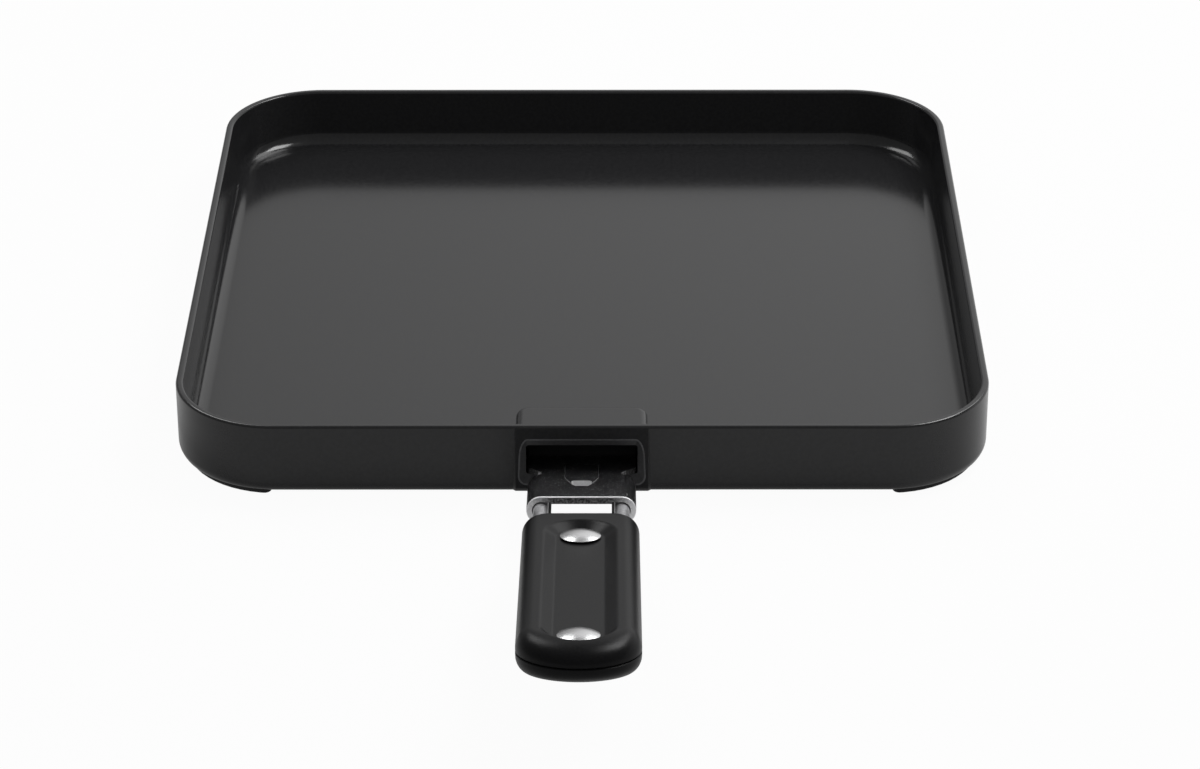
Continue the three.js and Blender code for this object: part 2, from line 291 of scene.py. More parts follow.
# The same coat on the pad round the socket: dull, with no mirror. Its index is set low to match that.
NON_STICK_DULL = Finish("ptfe_non_stick_dull", "2a2a2b", "303031", (0.5, 0.6), 1.2, 0.003, ior=1.2)

# The same coat on the rounded edge of that mouth, paler still: a painted highlight that draws the edge as a
# thin light line.
MOUTH_EDGE_PAINTED_HIGHLIGHT = Finish("ptfe_mouth_edge_painted_highlight", "5c5c5d", "68686a", (0.35, 0.45), 0.8, 0.002, ior=1.35)

# Glass-filled nylon moulded against a spark-eroded tool: black, dull, finely pitted. The pits are drawn at
# 0.6 mm, coarser than life, and its index is set low to match its faint sheen.
NYLON = Finish("glass_filled_nylon_moulded", "0e0e0f", "131314", (0.29, 0.34), 0.6, 0.006, ior=1.2)

# Steel sheet blackened in an oxide bath after rolling: dark, with bright flecks painted into its colour as
# glints off the rolled grain.
# The flecks are drawn at 0.4 mm, coarser than life. The oxide is a coat here, so it isn't metallic.
BLACK_OXIDE = Finish(
    "steel_sheet_black_oxide_painted_glints", "0c0c0d", "b4b4b6", (0.32, 0.45), 0.4, 0.05, spread=(0.6, 0.74), ior=1.4
)

# The same sheet on the turned-up end deep in the socket: an even black without the bright flecks, painted
# shade for the socket's dark inside.
OXIDE_PAINTED_SHADE = Finish("steel_sheet_oxide_painted_shade", "0b0b0c", "121213", (0.55, 0.65), 0.8, 0.01, ior=1.35)

# The same sheet where a die has sheared it: bare steel with fine draw marks, near white beyond steel's own
# colour, a painted highlight on the cut edges.
SHEARED = Finish("steel_edge_sheared", "f0f0f1", "fafafb", (0.6, 0.7), 0.5, 0.01, metallic=1.0)

# The walls of the cuts: half sheared and half torn, so streaked grey.
CUT_WALL = Finish(
    "steel_cut_wall", "39393a", "c4c4c5", (0.4, 0.5), 1.2, 0.06, spread=(0.4, 0.7), metallic=1.0
)

# The lower part of the sheared edge, where the sheet tore: dull, dark and rough, and rubbed bright at the
# curls.
TORN = CutEdge(
    "steel_edge_torn",
    "4a4a4b",
    "e6e6e7",
    (0.5, 0.42),
    0.7,
    0.07,
    spread=(0.4, 0.7),
    metallic=1.0,
    speckle=0.35,
)

# Drawn steel wire with a dull zinc plate.
ZINC_WIRE = Finish("steel_wire_zinc_plated", "d8d8da", "ececee", (0.32, 0.37), 1.0, 0.002, metallic=1.0)

# Stainless rivets, tumbled to a soft polish: bright, with blurred mirrors.
POLISHED = Finish("stainless_rivet_polished", "c8c8c9", "cdcdce", (0.24, 0.27), 3.0, 0.0, metallic=1.0)


# Mesh tools


def members(geometry: Iterable, kind: type) -> list:
    """Picks the vertices, edges or faces out of an operator's result."""
    return [item for item in geometry if isinstance(item, kind)]


def whole(faces: Iterable[BMFace]) -> list:
    """Lists faces with their edges and corners, as the extrude and spin operators need them.

    Args:
        faces: The faces.

    Returns:
        The faces, their edges and their corners.
    """
    faces = list(faces)
    edges = {edge for face in faces for edge in face.edges}
    return faces + list(edges) + list({vert for edge in edges for vert in edge.verts})


def extrude(bm: BMesh, faces: Iterable[BMFace], move: Sequence[float]) -> list[BMFace]:
    """Extrudes faces and moves the new ones.

    Args:
        bm: The mesh.
        faces: Faces to extrude together.
        move: How far the new faces go.

    Returns:
        The new faces.
    """
    region = whole(faces)
    made = bmesh.ops.extrude_face_region(bm, geom=region)["geom"]
    bmesh.ops.translate(bm, verts=members(made, BMVert), vec=move)
    return members(made, BMFace)


def bevel(bm: BMesh, edges: Iterable[BMEdge], width: float, steps: int) -> list[BMFace]:
    """Rounds edges.

    Args:
        bm: The mesh.
        edges: Edges to round.
        width: Width of the round.
        steps: Steps in it.

    Returns:
        The faces of the round.
    """
    made = bmesh.ops.bevel(
        bm, geom=list(edges), offset=width, segments=steps, profile=0.5, affect="EDGES", material=-1
    )
    return made["faces"]


def round_corners(bm: BMesh, corners: Iterable[BMVert], radius: float, steps: int) -> None:
    """Rounds the corners of a flat face."""
    bmesh.ops.bevel(
        bm, geom=list(corners), offset=radius, segments=steps, profile=0.5, affect="VERTICES", material=-1
    )


def draw_in(bm: BMesh, face: BMFace, by: float, rise: float) -> None:
    """Insets a face evenly and raises it along its normal."""
    bmesh.ops.inset_region(
        bm, faces=[face], thickness=by, depth=rise, use_boundary=True, use_even_offset=True
    )


def edges_where(bm: BMesh, test: Callable[[Vector], bool]) -> list[BMEdge]:
    """Lists the edges whose two ends both pass a test."""
    return [edge for edge in bm.edges if all(test(v.co) for v in edge.verts)]


def rectangle(low: Sequence[float], high: Sequence[float], z: float) -> BMesh:
    """Starts a mesh with one flat rectangle.

    Args:
        low: Its lowest x and y.
        high: Its highest x and y.
        z: Its height.

    Returns:
        The new mesh.
    """
    bm = bmesh.new()
    middle = Vector(((low[0] + high[0]) / 2, (low[1] + high[1]) / 2, z))
    spread = Matrix.Diagonal((high[0] - low[0], high[1] - low[1], 1, 1))
    bmesh.ops.create_grid(
        bm, x_segments=1, y_segments=1, size=0.5, matrix=Matrix.Translation(middle) @ spread
    )
    return bm


def loft(rings: Sequence[Sequence[Vector]]) -> BMesh:
    """Skins closed rings of equally many points and caps both ends.

    Args:
        rings: The rings in order.

    Returns:
        The closed mesh.
    """
    bm = bmesh.new()
    verts = [bm.verts.new(point) for point in rings[0]]
    edges = [bm.edges.new(pair) for pair in zip(verts, verts[1:] + verts[:1])]
    bmesh.ops.edgeloop_fill(bm, edges=edges)
    for ring in rings[1:]:
        made = bmesh.ops.extrude_edge_only(bm, edges=edges)["geom"]
        grown = set(members(made, BMVert))
        edges = [edge for edge in members(made, BMEdge) if grown.issuperset(edge.verts)]
        verts = [
            next(edge.other_vert(vert) for edge in vert.link_edges if edge.other_vert(vert) in grown)
            for vert in verts
        ]
        for vert, point in zip(verts, ring):
            vert.co = point
    bmesh.ops.edgeloop_fill(bm, edges=edges)
    bmesh.ops.recalc_face_normals(bm, faces=bm.faces[:])
    return bm


def lathe(profile: Sequence[tuple[float, float]], steps: int, closed: bool = False) -> BMesh:
    """Turns a profile of radius and height about the z axis.

    Args:
        profile: Points from one end to the other.
        steps: Steps in the full turn.
        closed: True where the profile comes back to its start, off the axis.

    Returns:
        The closed mesh.
    """
    bm = bmesh.new()
    verts = [bm.verts.new((radius, 0, height)) for radius, height in profile]
    pairs = list(zip(verts, verts[1:]))
    if closed:
        pairs.append((verts[-1], verts[0]))
    edges = [bm.edges.new(pair) for pair in pairs]
    bmesh.ops.spin(
        bm,
        geom=verts + edges,
        cent=(0, 0, 0),
        axis=(0, 0, 1),
        angle=2 * math.pi,
        steps=steps,
        use_merge=True,
    )
    bmesh.ops.remove_doubles(bm, verts=bm.verts[:], dist=2 * WELD)
    bmesh.ops.recalc_face_normals(bm, faces=bm.faces[:])
    return bm


def combine(base: BMesh, other: BMesh, join: Join) -> BMesh:
    """Joins one closed mesh to another, or cuts it by the other.

    Args:
        base: The mesh that is kept; freed here.
        other: The mesh that is added or cut away; freed here.
        join: Add or cut.

    Returns:
        The new mesh. Its faces keep their material index.
    """
    work = []
    for source in (base, other):
        bmesh.ops.recalc_face_normals(source, faces=source.faces[:])
        mesh = bpy.data.meshes.new("work")
        source.to_mesh(mesh)
        source.free()
        for _ in SheetFace:
            mesh.materials.append(None)
        obj = bpy.data.objects.new("work", mesh)
        bpy.context.scene.collection.objects.link(obj)
        work.append(obj)
    target, tool = work
    modifier = target.modifiers.new("join", "BOOLEAN")
    modifier.operation = join.value
    modifier.solver = "EXACT"
    modifier.object = tool
    result = bmesh.new()
    result.from_object(target, bpy.context.evaluated_depsgraph_get())
    for obj in work:
        mesh = obj.data
        bpy.data.objects.remove(obj)
        bpy.data.meshes.remove(mesh)
    bmesh.ops.recalc_face_normals(result, faces=result.faces[:])
    return result


@dataclass(frozen=True)
class Label:
    """What a finished piece is called, and what it belongs to.

    Attributes:
        name: The piece's own name.
        node: The solid that it stands for.
        body: The body that it rides on.
        slot: The record's material slot; not used.
    """

    name: str
    node: str
    body: Body
    slot: Slot


def place(bm: BMesh, label: Label, finishes: Sequence[Finish], sharp: float = 38.0) -> bpy.types.Object:
    """Makes a finished piece of a work mesh, at its place in the frame.

    Args:
        bm: The work mesh in millimetres; freed here.
        label: The piece's name, node, body and slot.
        finishes: Finishes in the order of the faces' material indices.
        sharp: Edges that turn by more degrees than this stay crisp.

    Returns:
        The piece.
    """
    bmesh.ops.remove_doubles(bm, verts=bm.verts[:], dist=WELD)
    bmesh.ops.dissolve_degenerate(bm, edges=bm.edges[:], dist=WELD)
    bmesh.ops.recalc_face_normals(bm, faces=bm.faces[:])
    for face in bm.faces:
        face.smooth = True
    for edge in bm.edges:
        edge.smooth = edge.calc_face_angle(0) < math.radians(sharp)
    bmesh.ops.scale(bm, vec=(MM, MM, MM), verts=bm.verts[:])
    mesh = bpy.data.meshes.new(label.name)
    bm.to_mesh(mesh)
    bm.free()
    for finish in finishes:
        mesh.materials.append(finish.material())
    piece = bpy.data.objects.new(label.name, mesh)
    bpy.context.scene.collection.objects.link(piece)
    normals = piece.modifiers.new("normals", "WEIGHTED_NORMAL")
    normals.keep_sharp = True
    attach(piece, label.body.value)
    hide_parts(label.node)
    LOG.info("%s: %d faces, rides on %s", label.name, len(mesh.polygons), label.body.value)
    return piece


def quarter(steps: int) -> list[float]:
    """Angles of a quarter turn, both ends included."""
    return [math.pi / 2 * i / steps for i in range(steps + 1)]


def upright_at(x: float, y: float, z: float) -> Matrix:
    """Gives the frame that stands a flat profile upright at a point, with its normal along -y."""
    return Matrix.Translation((x, y, z)) @ Matrix.Rotation(math.pi / 2, 4, "X")


def add_bar(bm: BMesh, radius: float, sides: int, seat: Matrix, move: Sequence[float]) -> None:
    """Adds a closed round bar to a mesh.

    Args:
        bm: The mesh.
        radius: The bar's radius.
        sides: Its number of sides.
        seat: The frame of its first end.
        move: The way from that end to the other.
    """
    end = bmesh.ops.create_circle(bm, cap_ends=True, segments=sides, radius=radius, matrix=seat)
    cap = {face for vert in end["verts"] for face in vert.link_faces}
    extrude(bm, cap, move)


def last_true(test: Callable[[float], bool], low: float, high: float) -> float:
    """Finds by halving where a test that holds at first stops to hold.

    Args:
        test: The test.
        low: A value at which it holds.
        high: A value at which it doesn't.

    Returns:
        The last value found at which it holds.
    """
    for _ in range(HALVINGS):
        middle = (low + high) / 2
        if test(middle):
            low = middle
        else:
            high = middle
    return low


# Sub-assemblies


@dataclass
class Socket:
    """The handle's seat in the pan: where the socket is and how it slopes.

    Attributes:
        reach: Distance of the pan's front plane from its middle.
        floor: Height of the socket's floor at that plane.
        tilt: The handle's slope in degrees.
        width: The bore's width.
        height: Its height.
        depth: Its depth.
        corner: Radius of its corners.
        corner_steps: Steps in each corner.
    """

    reach: float = 135.0
    floor: float = 7.7
    tilt: float = 11.5
    width: float = 36.4
    height: float = 10.4
    depth: float = 15.5
    corner: float = 0.8
    corner_steps: int = 4

    def frame(self) -> Matrix:
        """Gives the handle's frame in the pan's frame."""
        return Matrix.Translation((0, -self.reach, self.floor)) @ Matrix.Rotation(
            -math.radians(self.tilt), 4, "X"
        )

    def bore(self, past: float) -> BMesh:
        """Makes the socket's bore as a closed tool.

        Args:
            past: How far it runs out past the mouth.

        Returns:
            The tool.
        """
        bm = rectangle((-self.width / 2, 0), (self.width / 2, self.height), 0)
        round_corners(bm, bm.verts[:], self.corner, self.corner_steps)
        extrude(bm, bm.faces[:], (0, 0, self.depth + past))
        bmesh.ops.transform(bm, matrix=self.frame() @ upright_at(0, self.depth, 0), verts=bm.verts[:])
        return bm


@dataclass
class Pan:
    """The casting: a square dish, the boss and pad round the handle's socket, and four corner feet.

    Lengths are in millimetres, angles in degrees. A field that ends in steps counts the steps of a round.
    """

    socket: Socket

    # Dish
    width: float = 270.0
    height: float = 25.3
    corner: float = 34.7
    corner_steps: int = 52
    floor: float = 4.6
    rim: float = 2.6
    rim_round: float = 0.9
    rim_steps: int = 5
    draft: float = 4.0
    dish_fillet: float = 5.0
    dish_steps: int = 18
    underside_round: float = 4.5
    underside_steps: int = 10

    # Feet
    foot_inset: float = 3.2
    foot_width: float = 6.0
    foot_drop: float = 1.5
    foot_root: float = 2.5
    foot_round: float = 0.5
    foot_trim: float = 3.5
    foot_end: float = 2.4
    foot_end_steps: int = 6
    foot_steps: int = 13

    # Boss
    boss_side: float = 3.5
    boss_back: float = 4.6
    boss_roof: float = 3.7
    boss_corner: float = 4.5
    boss_corner_steps: int = 12
    boss_round: float = 2.4
    boss_round_steps: int = 5
    boss_lean: float = 0.3
    boss_fillet: float = 1.6
    boss_fillet_steps: int = 6

    # Pad and the mouth's lead-in
    pad_margin: float = 3.5
    pad_proud: tuple[float, float] = (0.85, 0.35)
    pad_drop: float = 0.7
    pad_fade: float = 2.0
    pad_round: float = 4.4
    pad_steps: int = 8
    pad_slope: tuple[float, float] = (0.9, 0.9)
    lead_side: float = 2.2
    lead_rise: float = 3.0
    lead_depth: float = 1.2
    lead_corner: float = 2.9
    lead_shoulder: float = 7.0
    lead_steps: int = 8
    lead_round: float = 0.3

    # Small rounds
    small_steps: int = 3

    def build(self) -> BMesh:
        """Makes the casting.

        Returns:
            One closed mesh.
        """
        body = combine(self._dish(), self._boss(), Join.ADD)
        body = combine(body, self._pad(), Join.ADD)
        for turn in range(4):
            body = combine(body, self._foot(turn), Join.ADD)
        body = combine(body, self._lead(), Join.CUT)
        self._soften_mouth(body)
        return combine(body, self.socket.bore(self.lead_depth * 2), Join.CUT)

    def dress(self) -> bpy.types.Object:
        """Places the casting with its coat."""
        finishes = [NON_STICK, MOUTH_COAT_PAINTED_LIGHT, MOUTH_EDGE_PAINTED_HIGHLIGHT, NON_STICK_DULL]
        return place(self.build(), Label("pan_casting", "pan_body", Body.PAN, Slot.COAT), finishes)

    def _inset_at(self, point: Vector) -> float:
        """Tells how far inside the pan's outline a point lies.

        Args:
            point: The point.

        Returns:
            The distance, as seen from above.
        """
        centre = self.width / 2 - self.corner
        dx = abs(point.x) - centre
        dy = abs(point.y) - centre
        if dx > 0 and dy > 0:
            return self.corner - math.hypot(dx, dy)
        return self.width / 2 - max(abs(point.x), abs(point.y))

    def _dish(self) -> BMesh:
        """Makes the dish: a rounded square block, hollowed from above, with its edges rounded.

        Returns:
            One closed mesh.
        """
        half = self.width / 2
        bm = rectangle((-half, -half), (half, half), 0)
        round_corners(bm, bm.verts[:], self.corner, self.corner_steps)
        cooking, = extrude(bm, bm.faces[:], (0, 0, self.height))
        lean = (self.height - self.floor) * math.tan(math.radians(self.draft))
        draw_in(bm, cooking, self.rim, 0)
        draw_in(bm, cooking, lean, self.floor - self.height)
        setback = self.dish_fillet * math.tan(math.radians(45 - self.draft / 2))
        rounds = [
            (self.rim + lean, self.floor, setback, self.dish_steps),
            (self.rim, self.height, self.rim_round, self.rim_steps),
            (0, self.height, self.rim_round, self.rim_steps),
            (0, 0, self.underside_round, self.underside_steps),
        ]
        for inset, level, width, steps in rounds:
            edges = edges_where(
                bm, lambda p: abs(p.z - level) < NEAR and abs(self._inset_at(p) - inset) < 5 * NEAR
            )
            bevel(bm, edges, width, steps)
        return bm

    def _boss(self) -> BMesh:
        """Makes the boss inside the dish: drafted sides, a hollow fillet at its foot and a rounded top.

        Returns:
            One closed mesh.
        """
        slope = math.radians(self.socket.tilt)
        half = self.socket.width / 2 + self.boss_side
        run = self.socket.depth * math.cos(slope) + self.socket.height * math.sin(slope)
        front = -self.width / 2 + self.rim / 2
        back = -self.width / 2 + run + self.boss_back
        top = self.socket.floor + self.socket.height * math.cos(slope) + self.boss_roof
        spread = self.boss_lean + self.boss_fillet
        bm = rectangle((-half - spread, front), (half + spread, back + spread), self.floor / 2)
        middle = (front + back) / 2
        far = [vert for vert in bm.verts if vert.co.y > middle]
        round_corners(bm, far, self.boss_corner + spread, self.boss_corner_steps)
        crown, = extrude(bm, bm.faces[:], (0, 0, self.floor / 2 - NEAR))
        drawn, level = 0.0, self.floor - NEAR
        for next_drawn, next_level in self._boss_profile(top):
            draw_in(bm, crown, next_drawn - drawn, next_level - level)
            drawn, level = next_drawn, next_level
        for vert in bm.verts:
            if vert.co.y < middle:
                vert.co.y = front
        return bm

    def _boss_profile(self, top: float) -> list[tuple[float, float]]:
        """Lists the boss's side from its foot to its top.

        Args:
            top: Height of the boss's top.

        Returns:
            Points as distance drawn in and height.
        """
        fillet = [
            (self.boss_fillet * math.sin(a), self.floor + self.boss_fillet * (1 - math.cos(a)))
            for a in quarter(self.boss_fillet_steps)[1:]
        ]
        side = self.boss_fillet + self.boss_lean
        crown = [
            (side + self.boss_round * (1 - math.cos(a)), top - self.boss_round * (1 - math.sin(a)))
            for a in quarter(self.boss_round_steps)
        ]
        return fillet + crown

    def _pad(self) -> BMesh:
        """Makes the proud pad round the mouth: it leans back, fades into the rim and has sloping sides.

        Returns:
            One closed mesh.
        """
        half = self.socket.width / 2 + self.pad_margin
        front = -self.width / 2
        wall = front + self.rim / 2
        root = front + self.underside_round + self.rim
        foot, brow = self.pad_proud
        top = self.height - self.pad_drop
        run, back = self.pad_slope
        side = [
            (root, 0),
            (front - foot, 0),
            (front - brow, top - self.pad_fade),
            (front, top),
            (wall, top),
            (wall, self.floor / 2),
            (root, self.floor / 2),
        ]
        bm = bmesh.new()
        bm.faces.new([bm.verts.new((-half, y, z)) for y, z in side])
        lower = min(bm.verts, key=lambda v: 2 * v.co.z + v.co.y)
        round_corners(bm, [lower], self.pad_round, self.pad_steps)
        near = bm.faces[:]
        far = extrude(bm, near, (2 * half, 0, 0))
        extrude(bm, near, (-run, back, 0))
        extrude(bm, far, (run, back, 0))
        bm.normal_update()
        for face in bm.faces:
            if abs(face.normal.y) > FACING and face.calc_center_median().y < front:
                face.material_index = PanFace.DULL.value
        return bm

    def _lead(self) -> BMesh:
        """Makes the tool for the lead-in that widens the mouth to the pad's face.

        Returns:
            One closed mesh.
        """
        slope = math.radians(self.socket.tilt)
        proud = sum(self.pad_proud) / 2
        inner = -self.width / 2 - proud + self.lead_depth
        low = self.socket.floor - (self.lead_depth - proud) * math.tan(slope)
        high = low + self.socket.height / math.cos(slope)
        rings = []
        for opened, corner, shoulder in (
            (0, self.socket.corner, self.socket.corner),
            (1, self.lead_corner, self.lead_shoulder),
            (2, self.lead_corner, self.lead_shoulder),
        ):
            half = self.socket.width / 2 + self.lead_side * opened
            rise = self.lead_rise * opened
            y = inner - self.lead_depth * opened
            rings.append(self._mouth_ring(half, low - rise, high + rise, corner, shoulder, y))
        bm = loft(rings)
        # The lead-in's faces take the paler mouth coat, painted light over the shade in the mouth.
        for face in bm.faces:
            face.material_index = PanFace.MOUTH_LIT.value
        return bm

    def _mouth_ring(
        self, half: float, low: float, high: float, corner: float, shoulder: float, y: float
    ) -> list[Vector]:
        """Draws an upright rectangle whose corners are round below and long ellipses above.

        Args:
            half: Half its width.
            low: Its lowest height.
            high: Its highest height.
            corner: Radius of the lower corners, and half-width of the upper ones.
            shoulder: Height of the upper corners.
            y: Distance along y.

        Returns:
            Points of the closed ring.
        """
        points = []
        for turn, rise in ((0, shoulder), (1, shoulder), (2, corner), (3, corner)):
            side = 1 if turn in (0, 3) else -1
            level = high - rise if turn < 2 else low + rise
            for a in quarter(self.lead_steps):
                angle = a + turn * math.pi / 2
                x = side * (half - corner) + corner * math.cos(angle)
                points.append(Vector((x, y, level + rise * math.sin(angle))))
        return points

    def _soften_mouth(self, bm: BMesh) -> None:
        """Rounds the edge where the lead-in meets the pad's face, and gives the round the pale edge coat as
        a painted highlight.

        Args:
            bm: The casting.
        """
        meetings = [{PanFace.MOUTH_LIT.value, kind.value} for kind in (PanFace.COAT, PanFace.DULL)]
        edges = [edge for edge in bm.edges if {f.material_index for f in edge.link_faces} in meetings]
        for face in bevel(bm, edges, self.lead_round, self.small_steps):
            face.material_index = PanFace.EDGE.value

    def _foot(self, turn: int) -> BMesh:
        """Makes one foot: a quarter ring under a corner, with rounded ends.

        Args:
            turn: Which corner, counted round from the back right one.

        Returns:
            One closed mesh.
        """
        outer = self.corner - self.foot_inset
        bm = rectangle((outer - self.foot_width, -self.foot_drop), (outer, self.foot_root), 0)
        trim = math.radians(self.foot_trim)
        upright = Matrix.Rotation(trim, 3, "Z") @ Matrix.Rotation(math.pi / 2, 3, "X")
        bmesh.ops.rotate(bm, verts=bm.verts[:], matrix=upright)
        bmesh.ops.spin(
            bm,
            geom=bm.verts[:] + bm.edges[:] + bm.faces[:],
            cent=(0, 0, 0),
            axis=(0, 0, 1),
            angle=math.pi / 2 - 2 * trim,
            steps=self.foot_steps,
        )
        bmesh.ops.recalc_face_normals(bm, faces=bm.faces[:])
        ends = [
            edge
            for edge in bm.edges
            if abs(edge.verts[0].co.z - edge.verts[1].co.z) > NEAR
            and edge.calc_face_angle(0) > FOOT_CORNER
        ]
        bevel(bm, ends, self.foot_end, self.foot_end_steps)
        rim = [
            edge
            for edge in edges_where(bm, lambda p: p.z < -self.foot_drop + NEAR)
            if edge.calc_face_angle(0) > FOOT_CORNER
        ]
        bevel(bm, rim, self.foot_round, self.small_steps)
        centre = self.width / 2 - self.corner
        corner = Matrix.Rotation(turn * math.pi / 2, 4, "Z") @ Matrix.Translation((centre, centre, 0))
        bmesh.ops.transform(bm, matrix=corner, verts=bm.verts[:])
        return bm


@dataclass
class Bracket:
    """The sheet bracket: tongue, neck and two curls round the wires; and the catch tab lanced in it.

    Lengths are in millimetres, angles in degrees. A field that ends in steps counts the steps of a round.
    """

    socket: Socket

    # Sheet and tongue
    sheet: float = 1.8
    lift: float = 0.3
    gap: float = 0.3
    tongue_half: float = 17.6
    tongue_end: float = 15.1
    lip_height: float = 9.8
    bend_round: float = 1.5
    bend_steps: int = 5

    # Neck and curls
    shoulder_start: float = -0.5
    shoulder_end: float = 4.7
    # The shoulders' cut walls show steel only over this run next to the neck; past it they keep the dark
    # oxide as painted shade.
    shoulder_lit: float = 1.3
    curl_start: float = 6.5
    curl_end: float = 30.2
    wire_x: float = 13.0
    wire_level: float = -2.5
    curl_sweep: float = 225.0
    curl_steps: int = 36
    edge_bead: tuple[float, float, float] = (9.8, 1.2, 0.6)
    edge_round: float = 0.35
    edge_steps: int = 2
    fine_round: float = 0.15
    sharp: float = 30.0

    # Tab
    tab_half: float = 5.8
    tab_root: float = -4.0
    tab_reach: float = 19.8
    tip_length: float = 9.5
    tip_steps: int = 12
    notch_half: float = 3.2
    notch_depth: float = 6.4
    notch_corner: float = 1.0
    notch_steps: int = 4
    root_relief: float = 0.2
    burr: float = 0.045

    def build_bracket(self) -> BMesh:
        """Makes the bracket in the handle's frame.

        Returns:
            One closed mesh.
        """
        bm = self._plate()
        self._turn_up_end(bm)
        self._add_bead(bm)
        self._curl_sides(bm)
        window = self._tab_block(0, 2 * self.sheet)
        bm = combine(bm, window, Join.CUT)
        self._finish_edges(bm)
        return bm

    def build_tab(self) -> BMesh:
        """Makes the catch tab in the handle's frame.

        Returns:
            One closed mesh.
        """
        bm = self._tab_block(self.gap, 0)
        notch = rectangle(
            (-self.notch_half, -self.tab_reach - self.notch_corner * 2),
            (self.notch_half, self.notch_depth - self.tab_reach),
            -self.sheet,
        )
        round_corners(notch, notch.verts[:], self.notch_corner, self.notch_steps)
        extrude(notch, notch.faces[:], (0, 0, 4 * self.sheet))
        bm = combine(bm, notch, Join.CUT)
        bmesh.ops.remove_doubles(bm, verts=bm.verts[:], dist=self.fine_round)
        top = self.lift + self.sheet
        root = -self.tab_root - 2 * NEAR
        for face in bm.faces:
            middle = face.calc_center_median()
            if abs(face.normal.z) > LEANING or middle.y > root:
                kind = SheetFace.OXIDE
            # The notch's walls take the near-white sheared steel, partly a painted highlight.
            elif abs(middle.x) < self.notch_half:
                kind = SheetFace.SHEARED
            else:
                kind = SheetFace.CUT
            face.material_index = kind.value
        rim = [
            edge
            for edge in edges_where(bm, lambda p: p.z > top - NEAR)
            if edge.calc_face_angle(0) > SHEET_CORNER and min(v.co.y for v in edge.verts) < root
        ]
        # The burr's round takes the near-white sheared steel, a painted highlight line round the cut.
        for face in bevel(bm, rim, self.burr, self.edge_steps):
            face.material_index = SheetFace.SHEARED.value
        for vert in bm.verts:
            if vert.co.y > root:
                vert.co.y -= self.root_relief * (vert.co.z - self.lift) / self.sheet
        return bm

    def dress(self) -> list[bpy.types.Object]:
        """Places the bracket and its tab.

        Returns:
            Both pieces.
        """
        finishes = [BLACK_OXIDE, SHEARED, TORN, CUT_WALL, OXIDE_PAINTED_SHADE]
        pieces = []
        for bm, label in (
            (self.build_bracket(), Label("bracket_pressing", "tongue_bracket", Body.HANDLE, Slot.SHEET)),
            (self.build_tab(), Label("catch_tongue", "catch_tab", Body.CATCH, Slot.SHEET)),
        ):
            bmesh.ops.transform(bm, matrix=self.socket.frame(), verts=bm.verts[:])
            pieces.append(place(bm, label, finishes, self.sharp))
        return pieces

    def _plate(self) -> BMesh:
        """Makes the flat blank: a wide tongue, sloping shoulders and a neck.

        Returns:
            One closed mesh.
        """
        slant = (self.shoulder_end - self.shoulder_start) / (self.tongue_half - self.wire_x)
        right = [
            (self.tongue_half, -self.tongue_end),
            (self.tongue_half, self.shoulder_start),
            (self.wire_x + self.shoulder_lit, self.shoulder_end - self.shoulder_lit * slant),
            (self.wire_x, self.shoulder_end),
            (self.wire_x, self.curl_start),
            (self.wire_x, self.curl_end),
        ]
        outline = right + [(-x, s) for x, s in reversed(right)]
        bm = bmesh.new()
        bm.faces.new([bm.verts.new((x, -s, self.lift)) for x, s in outline])
        extrude(bm, bm.faces[:], (0, 0, self.sheet))
        bmesh.ops.recalc_face_normals(bm, faces=bm.faces[:])
        return bm

    def _slice(self, bm: BMesh, point: Sequence[float], normal: Sequence[float]) -> None:
        """Cuts all faces along a plane, without taking anything away."""
        everything = bm.verts[:] + bm.edges[:] + bm.faces[:]
        bmesh.ops.bisect_plane(bm, geom=everything, plane_co=point, plane_no=normal)

    def _turn_up_end(self, bm: BMesh) -> None:
        """Turns up the tongue's inner end and rounds the bend.

        Args:
            bm: The blank.
        """
        inside = self.tongue_end - self.sheet
        self._slice(bm, (0, inside, 0), (0, 1, 0))
        strip = [f for f in bm.faces if f.normal.z > FACING and f.calc_center_median().y > inside]
        extrude(bm, strip, (0, 0, self.lip_height - self.sheet))
        bmesh.ops.recalc_face_normals(bm, faces=bm.faces[:])
        outer = edges_where(bm, lambda p: p.y > self.tongue_end - NEAR and p.z < self.lift + NEAR)
        bevel(bm, outer, self.bend_round, self.bend_steps)

    def _add_bead(self, bm: BMesh) -> None:
        """Adds the rolled-down burr under the near edge, between the curls.

        Args:
            bm: The blank.
        """
        half, run, drop = self.edge_bead
        start = -self.curl_end + run
        self._slice(bm, (0, start, 0), (0, 1, 0))
        for side in (-half, half):
            self._slice(bm, (side, 0, 0), (1, 0, 0))
        under = [
            f
            for f in bm.faces
            if f.normal.z < -FACING
            and f.calc_center_median().y < start
            and abs(f.calc_center_median().x) < half
        ]
        extrude(bm, under, (0, 0, -drop))

    def _curl_sides(self, bm: BMesh) -> None:
        """Curls the neck's two sides down and round the wires.

        Args:
            bm: The blank.
        """
        for side in (-1, 1):
            flank = []
            for face in bm.faces:
                corners = [vert.co for vert in face.verts]
                at_side = all(abs(p.x - side * self.wire_x) < NEAR for p in corners)
                if at_side and all(p.y < NEAR - self.curl_start for p in corners):
                    flank.append(face)
            bmesh.ops.spin(
                bm,
                geom=whole(flank),
                cent=(side * self.wire_x, 0, self.wire_level),
                axis=(0, 1, 0),
                angle=side * math.radians(self.curl_sweep),
                steps=self.curl_steps,
            )
        bmesh.ops.recalc_face_normals(bm, faces=bm.faces[:])

